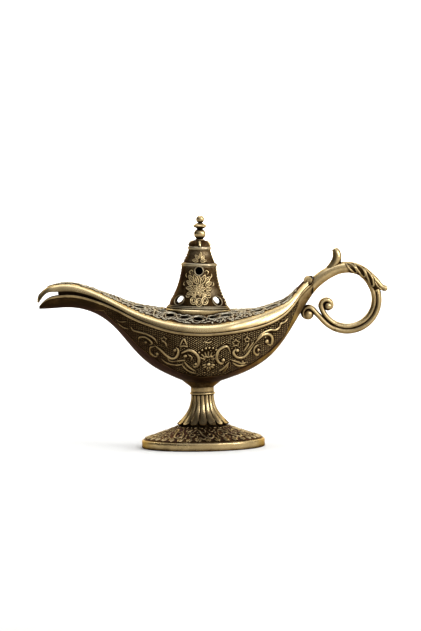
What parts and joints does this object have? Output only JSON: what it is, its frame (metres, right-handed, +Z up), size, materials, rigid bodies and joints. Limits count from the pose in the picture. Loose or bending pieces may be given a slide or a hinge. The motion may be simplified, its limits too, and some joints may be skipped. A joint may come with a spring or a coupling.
{
  "type": "genie oil lamp",
  "caption": "Boat-shaped antique-brass genie lamp with a long spout, ring handle, fluted pedestal and hinged lid with a vented dome.",
  "frame": {"origin": "centre of the foot's flat underside, on the pedestal's axis", "axes": "+Z up, +X towards the ring handle, -X towards the spout"},
  "size_m": [0.14, 0.051, 0.0927],
  "materials": {
    "bowl_brass": "antiqued, polished edges",
    "handle_brass": "antiqued, polished",
    "pedestal_brass": "antiqued, polished edges",
    "lid_brass": "antiqued, polished band",
    "dome_brass": "antiqued",
    "finial_brass": "antiqued, polished",
    "pin_brass": "plain",
    "fastener_steel": "zinc plated"
  },
  "bodies": {
    "lamp_base": {"bowl": "bowl_brass", "handle": "handle_brass", "pedestal": "pedestal_brass", "pedestal_screw": "fastener_steel", "pedestal_washer": "fastener_steel", "hinge_pin": "pin_brass"},
    "lid_assembly": {"lid": "lid_brass", "dome": "dome_brass", "finial": "finial_brass", "finial_nut": "fastener_steel", "dome_rivets": "pin_brass"}
  },
  "joints": [
    {"name": "lid_hinge", "type": "hinge", "parent": "lamp_base", "child": "lid_assembly", "pos_m": [0.043, 0, 0.0658], "axis": [0, 1, 0], "range_deg": [0, 74]}
  ]
}
